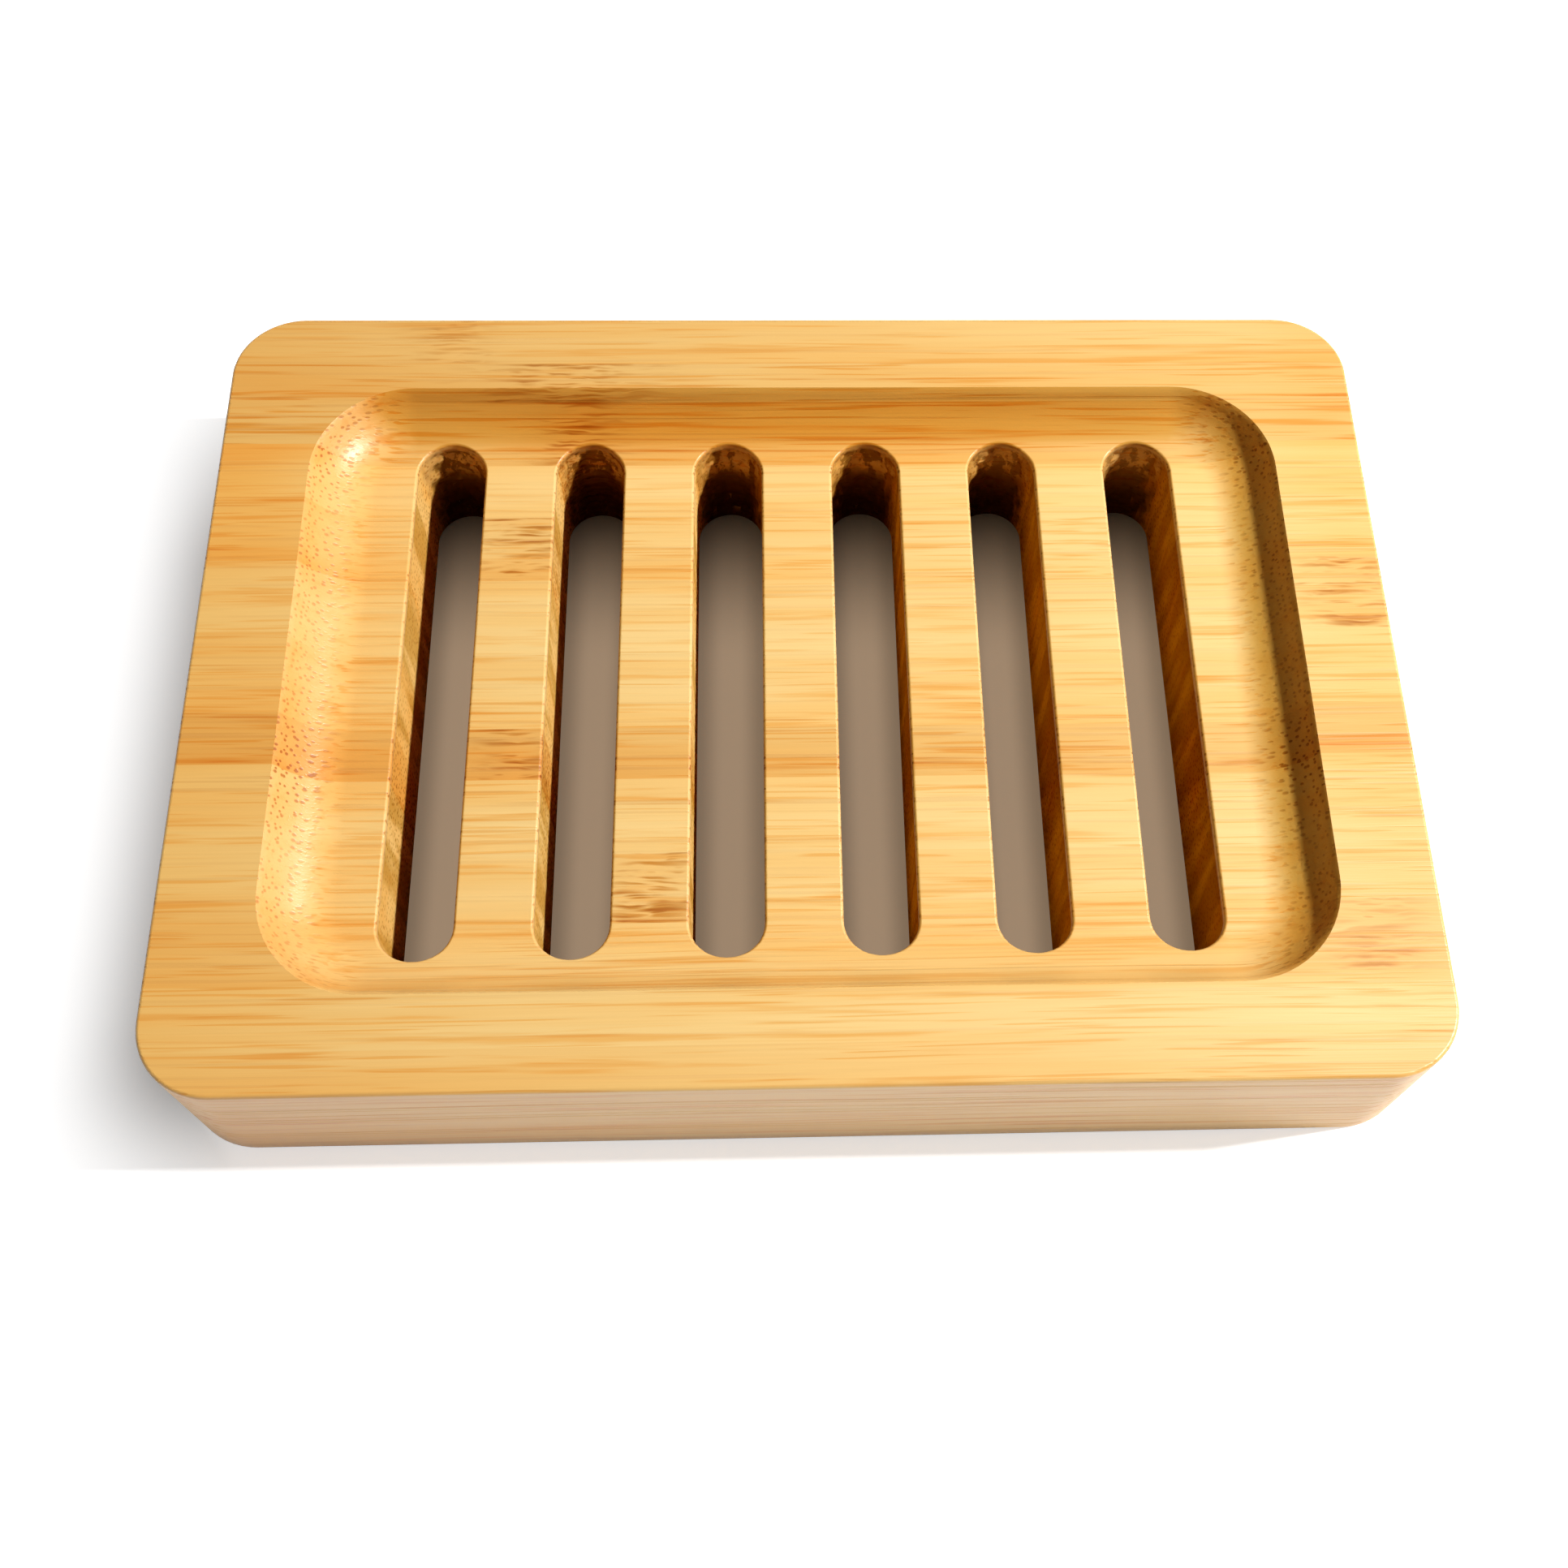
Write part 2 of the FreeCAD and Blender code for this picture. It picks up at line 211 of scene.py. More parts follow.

# The rows of bamboo from back to front, each with its tone. "skin" is 0 where the dense outer side of the
# cane faces the back and 1 where it faces the front. "light" scales the row's colour, and "streaks" and
# "bundles" scale how strongly its grain shows. A shade is a stretch of deeper tone: its place along X and
# half its length in millimetres, and how deep it is. A mark is where a joint of the cane crosses the row:
# its place along X and half its length in millimetres, how brown it is and how pale the wood around it is.
# Every row also has the left and the right painted shade: deeper tone at the left end, where the light falls
# off, and at the right end, which lies near the lamp.
LEFT_PAINTED_SHADE = (-62.0, 22.0, 0.8)
RIGHT_PAINTED_SHADE = (58.0, 6.5, 0.45)
ROWS = {
    "back_edge": dict(tone="honey", skin=1.0, light=0.99, streaks=0.8, bundles=0.6,
                      shades=[(0.0, 26.0, 0.35)], marks=[(-37.0, 4.0, 0.5, 0.3)]),
    "back_rim": dict(tone="honey", skin=1.0, light=0.98, streaks=1.1, bundles=0.8,
                     shades=[(-45.0, 22.0, 0.5), (0.0, 26.0, 0.35)], marks=[(-24.0, 8.0, 0.9, 0.3)]),
    "back_cove": dict(tone="honey", skin=0.0, light=0.98, streaks=1.3, bundles=1.0,
                      shades=[(4.0, 34.0, 1.0), (-22.0, 14.0, 0.6)], marks=[(-23.5, 4.0, 0.9, 0.5)]),
    "strip_04": dict(tone="pale", skin=0.0, light=1.06, streaks=0.6, bundles=1.0,
                     shades=[(-58.0, 9.0, 0.9)], marks=[]),
    "strip_05": dict(tone="pale", skin=1.0, light=1.04, streaks=0.9, bundles=0.8,
                     shades=[(-56.0, 12.0, 0.8), (-20.0, 28.0, 0.35)], marks=[(-29.0, 4.0, 1.0, 0.2)]),
    "strip_06": dict(tone="pale", skin=0.0, light=1.03, streaks=0.7, bundles=0.7,
                     shades=[], marks=[(57.0, 5.0, 0.85, 0.1)]),
    "strip_07": dict(tone="pale", skin=1.0, light=1.02, streaks=0.9, bundles=0.7,
                     shades=[(-50.0, 20.0, 0.4)], marks=[]),
    "strip_08": dict(tone="gold", skin=1.0, light=0.98, streaks=1.0, bundles=1.3,
                     shades=[(-42.0, 26.0, 0.7)], marks=[(-28.0, 3.5, 1.0, 0.6)]),
    "strip_09": dict(tone="pale", skin=0.0, light=1.01, streaks=0.8, bundles=1.1, shades=[], marks=[]),
    "strip_10": dict(tone="pale", skin=1.0, light=1.00, streaks=0.9, bundles=0.7,
                     shades=[], marks=[(-15.2, 4.5, 1.0, 0.4)]),
    "front_cove": dict(tone="honey", skin=1.0, light=1.00, streaks=0.8, bundles=0.7,
                       shades=[], marks=[(53.0, 5.0, 0.50, 0.2)]),
    "front_rim": dict(tone="pale", skin=0.0, light=1.00, streaks=0.9, bundles=0.6, shades=[], marks=[]),
    "front_edge": dict(tone="honey", skin=1.0, light=1.00, streaks=0.9, bundles=0.6, shades=[], marks=[]),
}


class BambooTones(bpy.types.PropertyGroup):
    """Colours and finish of the bamboo, with tints of painted light and shade for its coves and slot walls.
    """

    pale_bamboo: FloatVectorProperty(
        name="Pale", description="Colour of the palest rows", subtype="COLOR", size=3, min=0, max=1,
        default=(0.91, 0.620, 0.240))
    honey_bamboo: FloatVectorProperty(
        name="Honey", description="Colour of the middling rows", subtype="COLOR", size=3, min=0, max=1,
        default=(0.89, 0.575, 0.205))
    gold_bamboo: FloatVectorProperty(
        name="Gold", description="Colour of the deepest rows", subtype="COLOR", size=3, min=0, max=1,
        default=(0.86, 0.520, 0.165))
    streak_tint: FloatVectorProperty(
        name="Streaks", description="Tint of the long streaks over the row's colour", subtype="COLOR",
        size=3, min=0, max=1, default=(0.91, 0.66, 0.31))
    tone_tint: FloatVectorProperty(
        name="Deep tone", description="Tint of the deeper stretches over the row's colour", subtype="COLOR",
        size=3, min=0, max=1, default=(0.98, 0.82, 0.56))
    bundle_tint: FloatVectorProperty(
        name="Bundles", description="Tint of the cut fibre bundles over the row's colour", subtype="COLOR",
        size=3, min=0, max=1, default=(0.55, 0.38, 0.20))
    mark_tint: FloatVectorProperty(
        name="Joint marks", description="Tint of the flecks where a joint of the cane crosses a row",
        subtype="COLOR", size=3, min=0, max=1, default=(0.69, 0.48, 0.22))
    wall_tint: FloatVectorProperty(
        name="Slot walls", description="Tint of the milled slot walls over the row's colour",
        subtype="COLOR", size=3, min=0, max=1, default=(0.96, 0.93, 0.82))
    band_tint: FloatVectorProperty(
        name="Wall bands", description="Tint of the darker upright bands on the slot walls",
        subtype="COLOR", size=3, min=0, max=1, default=(0.72, 0.64, 0.42))
    shaded_wall_tint: FloatVectorProperty(
        name="Shaded walls", description="Tint of the slot walls that face left over the slot walls",
        subtype="COLOR", size=3, min=0, max=1, default=(0.63, 0.42, 0.05))
    end_tint: FloatVectorProperty(
        name="Slot ends", description="Tint of the scorched round slot ends over the slot walls",
        subtype="COLOR", size=3, min=0, max=1, default=(0.27, 0.21, 0.14))
    back_cove_painted_shade: FloatVectorProperty(
        name="Back cove", description="Tint of the back cove over the row's colour", subtype="COLOR",
        size=3, min=0, max=1, default=(0.80, 0.68, 0.40))
    right_cove_painted_shade: FloatVectorProperty(
        name="Right cove", description="Tint of the right cove over the row's colour", subtype="COLOR",
        size=3, min=0, max=1, default=(0.86, 0.70, 0.34))
    left_cove_painted_light: FloatVectorProperty(
        name="Left cove", description="Tint of the left cove over the row's colour", subtype="COLOR",
        size=3, min=0, max=1, default=(0.98, 0.90, 0.97))
    grain_end_tint: FloatVectorProperty(
        name="End grain", description="Tint of the two ends of the board, which take up more oil",
        subtype="COLOR", size=3, min=0, max=1, default=(0.59, 0.54, 0.44))
    roughness: FloatProperty(
        name="Roughness", description="Roughness of the oiled surface", default=0.38, min=0, max=1,
        subtype="FACTOR")
    gloss: FloatProperty(
        name="Gloss", description="Strength of the reflection on the oiled surface", default=0.6, min=0,
        max=1, subtype="FACTOR")
    gloss_tint: FloatVectorProperty(
        name="Gloss tint", description="Colour of the reflection on the oiled surface", subtype="COLOR",
        size=3, min=0, max=1, default=(1.0, 0.97, 0.92))
    relief: FloatProperty(
        name="Grain relief", description="Height of the grain", default=0.05 * MM, min=0, unit="LENGTH")


class MillingFinish(bpy.types.PropertyGroup):
    """How rough the cutter leaves the slot walls."""

    wall_tear: FloatProperty(
        name="Wall tear", description="Depth of the tears on the straight slot walls",
        default=0.05 * MM, min=0, unit="LENGTH")
    end_tear: FloatProperty(
        name="End tear", description="Depth of the tears on the round slot ends",
        default=0.50 * MM, min=0, unit="LENGTH")
    tear_size: FloatProperty(
        name="Tear size", description="Size of one tear", default=1.4 * MM, min=0.01 * MM, unit="LENGTH")
    grid: FloatProperty(
        name="Wall grid", description="Spacing of the mesh on the slot walls", default=0.5 * MM,
        min=0.1 * MM, unit="LENGTH")
    seed: IntProperty(name="Seed", description="Picks the pattern of tears", default=7, min=0)


class StageSettings(bpy.types.PropertyGroup):
    """Floor, lamps and even light."""

    key_power: FloatProperty(
        name="Key power", description="Power of the lamp on the right", default=6.7, min=0, unit="POWER")
    key_distance: FloatProperty(
        name="Key distance", description="Distance from the dish to that lamp", default=0.70, min=0.1,
        unit="LENGTH")
    key_size: FloatProperty(
        name="Key size", description="Side of that lamp", default=0.036, min=0.001, unit="LENGTH")
    soft_power: FloatProperty(
        name="Soft power", description="Power of the wide lamp in front", default=0.05, min=0, unit="POWER")
    sky: FloatProperty(
        name="Sky", description="Strength of the even light from all sides", default=0.05, min=0)
    floor_size: FloatProperty(
        name="Floor", description="Side of the floor", default=6.0, min=1, unit="LENGTH")


class Tree:
    """Adds nodes to a node tree and joins them."""

    def __init__(self, tree):
        self.tree = tree

    def add(self, kind, inputs=None, **settings):
        """New node with its settings, and its inputs by name or number."""
        node = self.tree.nodes.new(kind)
        for name, value in settings.items():
            setattr(node, name, value)
        for key, value in (inputs or {}).items():
            self.feed(node.inputs[key], value)
        return node

    def feed(self, socket, value):
        """Joins a socket to another one, or sets its number."""
        if isinstance(value, bpy.types.NodeSocket):
            self.tree.links.new(value, socket)
        else:
            socket.default_value = value

    def math(self, operation, *values):
        """Result of a sum on numbers."""
        return self.add("ShaderNodeMath", dict(enumerate(values)), operation=operation).outputs[0]

    def product(self, first, *others):
        """Numbers multiplied together."""
        for other in others:
            first = self.math("MULTIPLY", first, other)
        return first

    def within(self, value, limit):
        """A number kept between a limit and its negative."""
        return self.math("MAXIMUM", self.math("MINIMUM", value, limit), -limit)

    def vector(self, operation, *values):
        """Result of a sum on vectors."""
        return self.add("ShaderNodeVectorMath", dict(enumerate(values)), operation=operation).outputs[0]

    def scale(self, vector, factor):
        """A vector times a number."""
        return self.add("ShaderNodeVectorMath", {0: vector, 3: factor}, operation="SCALE").outputs[0]

    def mix(self, factor, at_zero, at_one):
        """A number between two others."""
        return self.add("ShaderNodeMix", {0: factor, 2: at_zero, 3: at_one}).outputs[0]

    def remap(self, value, low, high, to_low=0.0, to_high=1.0):
        """Smooth step of a number from one range to another."""
        numbers = {"Value": value, "From Min": low, "From Max": high, "To Min": to_low, "To Max": to_high}
        return self.add("ShaderNodeMapRange", numbers, interpolation_type="SMOOTHSTEP").outputs[0]

    def fall(self, value, low, high):
        """Smooth step from 1 down to 0."""
        return self.remap(value, low, high, 1.0, 0.0)

    def disc(self, distance, radius, edge):
        """1 within a radius and 0 outside it, with the soft edge given in radii."""
        return self.fall(distance, *(self.math("MULTIPLY", radius, part) for part in edge))

    def parts(self, vector):
        """The three numbers of a vector."""
        return self.add("ShaderNodeSeparateXYZ", {0: vector}).outputs

    def noise(self, place, cells, detail=2.0, roughness=0.5):
        """Soft noise with so many cells per unit of length along each axis."""
        numbers = {"Vector": self.vector("MULTIPLY", place, cells), "Scale": 1.0, "Detail": detail,
                   "Roughness": roughness}
        return self.add("ShaderNodeTexNoise", numbers).outputs

    def cells(self, place, cells):
        """Scattered cells, so many per unit of length along each axis."""
        spot = self.vector("MULTIPLY", place, cells)
        return self.add("ShaderNodeTexVoronoi", {"Vector": spot, "Scale": 1.0}).outputs

    def tint(self, factor, colour, tint):
        """A colour multiplied by a tint as far as the factor says."""
        return self.add("ShaderNodeMix", {0: factor, 6: colour, 7: (*tint, 1.0)}, data_type="RGBA",
                        blend_type="MULTIPLY").outputs[2]


def slot_middle(tree, x):
    """X of the middle line of the nearest slot."""
    steps = tree.math("ADD", tree.math("DIVIDE", x, SLOT_PITCH), HALF_STEP)
    slot = tree.math("SUBTRACT", tree.math("ROUND", steps), HALF_STEP)
    return tree.math("MULTIPLY", tree.within(slot, OUTER_SLOT), SLOT_PITCH)


def fibre_bundles(tree, path, skin):
    """Fibre bundles that run the whole length, dense near the skin of the cane and sparse inside."""
    y, z = tree.parts(path)[1:]
    section = tree.add("ShaderNodeCombineXYZ", {0: y, 1: z}).outputs[0]
    cell = tree.add("ShaderNodeTexVoronoi", {"Vector": section, "Scale": BUNDLES_PER_MM},
                    voronoi_dimensions="2D").outputs
    radius = tree.math("MULTIPLY_ADD", tree.parts(cell["Color"])[0], BUNDLE_SPREAD, BUNDLE_RADIUS)
    bundle = tree.disc(cell["Distance"], radius, BUNDLE_EDGE)
    return tree.math("MULTIPLY", bundle, tree.math("MULTIPLY_ADD", skin, 1 - BUNDLE_INSIDE, BUNDLE_INSIDE))


def bamboo_grain():
    """Node group for the solid grain of a row: streaks, fibre, tone, cut fibre bundles and skin side."""
    name = "bamboo_grain"
    if name in bpy.data.node_groups:
        return bpy.data.node_groups[name]
    group = bpy.data.node_groups.new(name, "ShaderNodeTree")
    group.interface.new_socket(name="Place", in_out="INPUT", socket_type="NodeSocketVector")
    for key in ("Seed", "Back", "Thickness", "Skin"):
        group.interface.new_socket(name=key, in_out="INPUT", socket_type="NodeSocketFloat")
    for key in ("Streak", "Line", "Fibre", "Tone", "Bundle", "Skin side"):
        group.interface.new_socket(name=key, in_out="OUTPUT", socket_type="NodeSocketFloat")
    tree = Tree(group)
    given = tree.add("NodeGroupInput").outputs
    place = tree.vector("MULTIPLY_ADD", given["Seed"], GRAIN_SHIFT, given["Place"])

    # the fibres run along X and drift slowly to the side and in and out of the surface
    drift = tree.noise(place, DRIFT_PER_MM, detail=1.0)["Color"]
    drift = tree.vector("SUBTRACT", drift, (NOISE_MIDDLE, NOISE_MIDDLE, NOISE_MIDDLE))
    path = tree.vector("MULTIPLY_ADD", drift, DRIFT_REACH, place)

    # how near the skin of the cane lies, across the thickness of the row
    from_back = tree.math("SUBTRACT", given["Back"], tree.parts(given["Place"])[1])
    across = tree.math("DIVIDE", from_back, given["Thickness"])
    skin = tree.mix(given["Skin"], tree.math("SUBTRACT", 1.0, across), across)

    streak = tree.noise(path, STREAK_PER_MM, detail=3.0, roughness=0.55)["Fac"]
    line = tree.noise(path, LINE_PER_MM, detail=1.0)["Fac"]
    tree.add("NodeGroupOutput", {
        "Streak": tree.remap(streak, *STREAK_LEVELS),
        "Line": tree.remap(line, *LINE_LEVELS),
        "Fibre": tree.noise(path, FIBRE_PER_MM, detail=3.0, roughness=0.6)["Fac"],
        "Tone": tree.noise(place, TONE_PER_MM)["Fac"],
        "Bundle": fibre_bundles(tree, path, skin),
        "Skin side": skin,
    })
    return group


def row_grain(tree, row, place):
    """Grain of one row at a place in millimetres."""
    nodes = [node for node in MATERIAL_SLOTS if node.startswith(row)]
    low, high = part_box(nodes[0])
    numbers = {"Place": place, "Seed": float(list(ROWS).index(row) + 1), "Back": high.y / MM,
               "Thickness": (high.y - low.y) / MM, "Skin": ROWS[row]["skin"]}
    return tree.add("ShaderNodeGroup", numbers, node_tree=bamboo_grain()).outputs


def near_spot(tree, x, middle, half):
    """Soft bump along X around a place, in millimetres."""
    shifted = tree.math("DIVIDE", tree.math("SUBTRACT", x, middle), half)
    return tree.math("EXPONENT", tree.product(shifted, shifted, -1.0))


def joint_mark(tree, place, colour, mark, tint):
    """Brown dashes and a pale swelling where a joint of the cane crosses the row."""
    middle, half, brown, pale = mark
    drift = tree.math("SUBTRACT", tree.noise(place, MARK_DRIFT_PER_MM)["Fac"], NOISE_MIDDLE)
    wandering = tree.math("MULTIPLY_ADD", drift, MARK_WANDER * half, tree.parts(place)[0])
    near = near_spot(tree, wandering, middle, half)
    bent = tree.vector("MULTIPLY_ADD", drift, MARK_DRIFT_REACH, place)
    colour = tree.tint(tree.math("MULTIPLY", near, MARK_HAZE * brown), colour, tint)
    for per_mm in DASHES_PER_MM:
        cell = tree.cells(bent, per_mm)
        radius = tree.math("MULTIPLY_ADD", tree.parts(cell["Color"])[1], DASH_SPREAD, DASH_RADIUS)
        dash = tree.disc(cell["Distance"], radius, DASH_EDGE)
        colour = tree.tint(tree.product(near, dash, brown), colour, tint)
    swelling = tree.math("POWER", near, SWELLING_FALL)
    return tree.scale(colour, tree.math("MULTIPLY_ADD", swelling, SWELLING * pale, 1.0))


def inside_box(tree, place, half_x, half_y):
    """1 within a distance of the middle along X and another along Y."""
    x, y, z = tree.parts(place)
    return tree.product(tree.math("LESS_THAN", tree.math("ABSOLUTE", x), half_x),
                        tree.math("LESS_THAN", tree.math("ABSOLUTE", y), half_y))


def slot_walls(tree, place, normal):
    """1 on the walls of the slots, below their mouths."""
    upright = tree.fall(tree.math("ABSOLUTE", normal[2]), *WALL_FACING)
    below = tree.fall(tree.parts(place)[2], *MOUTH_STEP)
    return tree.product(upright, below, inside_box(tree, place, SLOTS_HALF_X, SLOTS_HALF_Y))


def cove_painted_light_and_shade(tree, place, normal):
    """How far the surface lies on the steep part of the tray's back, right and left cove: masks for the
    painted shade on the back and right coves and the painted light on the left one.
    """
    back = tree.math("ADD", normal[1], tree.math("ABSOLUTE", normal[0]))
    steep = [tree.fall(back, *STEEP_FACING), tree.fall(normal[0], *STEEP_FACING),
             tree.remap(normal[0], *CUT_FACING)]
    above = tree.remap(tree.parts(place)[2], *COVE_HEIGHTS)
    inside = tree.math("MULTIPLY", inside_box(tree, place, *TRAY_HALF), above)
    return [tree.math("MULTIPLY", side, inside) for side in steep]


def grain_colour(tree, base, look, place, grain, facing):
    """Colour of a row with its tones, streaks, lines, cut bundles and joint marks."""
    tones = bpy.context.scene.dish_tones
    brightness = tree.math("MULTIPLY_ADD", grain["Fibre"], FIBRE_LIGHT, FIBRE_DARK)
    colour = tree.scale(tuple(base), brightness)
    deeper = tree.math("MULTIPLY", tree.remap(grain["Tone"], *TONE_LEVELS), TONE_SHARE)
    colour = tree.tint(deeper, colour, tones.tone_tint)
    # the left and right painted shade: deeper tone where the light falls off to the left and near the lamp at
    # the right
    for middle, half, amount in (LEFT_PAINTED_SHADE, RIGHT_PAINTED_SHADE, *look["shades"]):
        shade = tree.math("MULTIPLY", near_spot(tree, tree.parts(place)[0], middle, half), amount)
        colour = tree.tint(shade, colour, tones.tone_tint)
    skin = tree.math("POWER", tree.math("MAXIMUM", grain["Skin side"], 0.0), SKIN_FALL)
    colour = tree.tint(tree.math("MULTIPLY", skin, SKIN_SHARE), colour, tones.tone_tint)

    cut = tree.remap(facing, *CUT_FACING)
    along = tree.math("SUBTRACT", 1.0, tree.math("MULTIPLY", cut, CUT_HIDES))
    for pattern, share in (("Streak", STREAK_SHARE), ("Line", LINE_SHARE)):
        shows = tree.product(grain[pattern], along, share * look["streaks"])
        colour = tree.tint(shows, colour, tones.streak_tint)
    across = tree.math("MULTIPLY_ADD", cut, 1 - BUNDLE_ALONG, BUNDLE_ALONG)
    shows = tree.product(grain["Bundle"], across, look["bundles"])
    colour = tree.tint(shows, colour, tones.bundle_tint)
    for mark in look["marks"]:
        colour = joint_mark(tree, place, colour, mark, tones.mark_tint)
    return colour


def board_end_colour(tree, colour, place, facing):
    """The colour on the two ends of the board, which take up more oil."""
    tint = bpy.context.scene.dish_tones.grain_end_tint
    outermost = tree.math("GREATER_THAN", tree.math("ABSOLUTE", tree.parts(place)[0]), TRAY_HALF[0])
    return tree.tint(tree.math("MULTIPLY", outermost, tree.remap(facing, *BOARD_END_FACING)), colour, tint)


def wall_colour(tree, colour, place, normal, milled):
    """The colour on the slot walls: painted shade over all of them, bands, painted shade on the sides that
    face left, and painted shadow on the round ends, darker towards the bottom, with pale patches of painted
    light.
    """
    tones = bpy.context.scene.dish_tones
    height = tree.parts(place)[2]
    ends = tree.remap(tree.math("ABSOLUTE", normal[1]), *SLOT_END_FACING)
    # pale patches of painted light on the upper round ends, where the rough wood catches the lamp
    patch = tree.noise(place, PATCH_PER_MM, detail=4.0, roughness=0.6)["Fac"]
    patch = tree.product(tree.remap(patch, *PATCH_LEVELS), ends, tree.remap(height, *PATCH_HEIGHTS))
    walls = tree.math("MULTIPLY", milled, tree.math("MULTIPLY_ADD", patch, -PATCH_PALE, 1.0))
    # painted shade over all slot walls, for the little light that gets into the slots
    colour = tree.tint(walls, colour, tones.wall_tint)
    bands = tree.remap(tree.noise(place, BAND_PER_MM)["Fac"], *BAND_LEVELS)
    colour = tree.tint(tree.math("MULTIPLY", walls, bands), colour, tones.band_tint)
    # painted shade on the slot walls that face left, away from the lamp
    shaded = tree.math("MULTIPLY", walls, tree.fall(normal[0], *SHADED_FACING))
    colour = tree.tint(shaded, colour, tones.shaded_wall_tint)
    # painted shadow on the round slot ends, darker towards the bottom of the slots
    for low, high, at_high in END_SHADOW_COATS:
        shadowed = tree.product(walls, ends, tree.remap(height, low, high, 1.0, at_high))
        colour = tree.tint(shadowed, colour, tones.end_tint)
    return colour


def oil_finish(tree, shader, grain, dull):
    """Sets the sheen and the relief of the oiled surface."""
    tones = bpy.context.scene.dish_tones
    rough = tree.math("MULTIPLY_ADD", grain["Fibre"], FIBRE_ROUGH, tones.roughness - FIBRE_ROUGH / 2)
    tree.feed(shader.inputs["Roughness"], tree.math("MULTIPLY_ADD", grain["Bundle"], BUNDLE_ROUGH, rough))
    gloss = tree.math("MULTIPLY_ADD", dull, -tones.gloss, tones.gloss)
    tree.feed(shader.inputs["Specular IOR Level"], gloss)
    shader.inputs["Specular Tint"].default_value = (*tones.gloss_tint, 1.0)
    dents = tree.math("MULTIPLY", grain["Fibre"], FIBRE_HEIGHT)
    dents = tree.math("MULTIPLY_ADD", grain["Bundle"], BUNDLE_HEIGHT, dents)
    dents = tree.math("MULTIPLY_ADD", grain["Line"], LINE_HEIGHT, dents)
    bump = tree.add("ShaderNodeBump", {"Height": dents, "Distance": tones.relief,
                                       "Strength": RELIEF_STRENGTH})
    tree.feed(shader.inputs["Normal"], bump.outputs["Normal"])


def row_material(row):
    """Oiled bamboo of one row, with the row's own tone, grain and joint marks."""
    name = f"bamboo_{row}"
    if name in bpy.data.materials:
        return bpy.data.materials[name]
    look = ROWS[row]
    tones = bpy.context.scene.dish_tones
    base = [channel * look["light"] for channel in getattr(tones, f"{look['tone']}_bamboo")]
    material = bpy.data.materials.new(name)
    material.use_nodes = True
    material.diffuse_color = (*base, 1.0)
    tree = Tree(material.node_tree)
    shader = material.node_tree.nodes["Principled BSDF"]

    place = tree.add("ShaderNodeTexCoord").outputs["Object"]
    place_mm = tree.scale(place, 1 / MM)
    normal = tree.parts(tree.add("ShaderNodeNewGeometry").outputs["Normal"])
    facing = tree.math("ABSOLUTE", normal[0])
    grain = row_grain(tree, row, place_mm)
    milled = slot_walls(tree, place, normal)
    back_cove, right_cove, left_cove = cove_painted_light_and_shade(tree, place, normal)

    colour = grain_colour(tree, base, look, place_mm, grain, facing)
    colour = board_end_colour(tree, colour, place, facing)
    # painted shade on the back and right coves, which face away from the lamp, and painted light, a paler
    # sheen, on the left cove
    colour = tree.tint(back_cove, colour, tones.back_cove_painted_shade)
    colour = tree.tint(right_cove, colour, tones.right_cove_painted_shade)
    colour = tree.tint(left_cove, colour, tones.left_cove_painted_light)
    colour = wall_colour(tree, colour, place_mm, normal, milled)
    tree.feed(shader.inputs["Base Color"], colour)

    shaded_coves = tree.math("MAXIMUM", back_cove, right_cove)
    dull = tree.math("MAXIMUM", milled, tree.math("MULTIPLY", shaded_coves, COVE_DULL))
    oil_finish(tree, shader, grain, dull)
    return material


def from_slot(tree, position):
    """Distance and direction from the nearest point on the middle line of the nearest slot."""
    x, y, z = tree.parts(position)
    line_y = tree.within(y, SLOT_STRAIGHT_HALF)
    line = tree.add("ShaderNodeCombineXYZ", {0: slot_middle(tree, x), 1: line_y, 2: z}).outputs[0]
    outwards = tree.vector("SUBTRACT", position, line)
    distance = tree.add("ShaderNodeVectorMath", {0: outwards}, operation="LENGTH").outputs["Value"]
    return distance, tree.vector("NORMALIZE", outwards)


def torn_offset(tree, given):
    """How far each point is moved: most on the round back ends, where the cutter leaves the wood."""
    position = tree.add("GeometryNodeInputPosition").outputs[0]
    distance, direction = from_slot(tree, position)
    z = tree.parts(position)[2]
    wall = tree.product(tree.fall(distance, *(SLOT_RADIUS + fade for fade in TEAR_FADE_OUT)),
                        tree.fall(z, TORN_TO - TEAR_FADE_UP, TORN_TO),
                        tree.remap(z, TORN_FROM, TORN_FROM + TEAR_FADE_UP))
    endwards = tree.math("MAXIMUM", tree.parts(direction)[1], 0.0)
    depth = tree.mix(endwards, given["Wall tear"], given["End tear"])
    size = tree.add("ShaderNodeCombineXYZ", {axis: given["Tear size"] for axis in range(3)}).outputs[0]
    numbers = {"Vector": tree.vector("DIVIDE", position, size), "W": given["Seed"], "Scale": 1.0,
               "Detail": 3.0}
    tear = tree.add("ShaderNodeTexNoise", numbers, noise_dimensions="4D").outputs["Fac"]
    return tree.scale(direction, tree.product(tree.remap(tear, *TEAR_LEVELS), depth, wall))


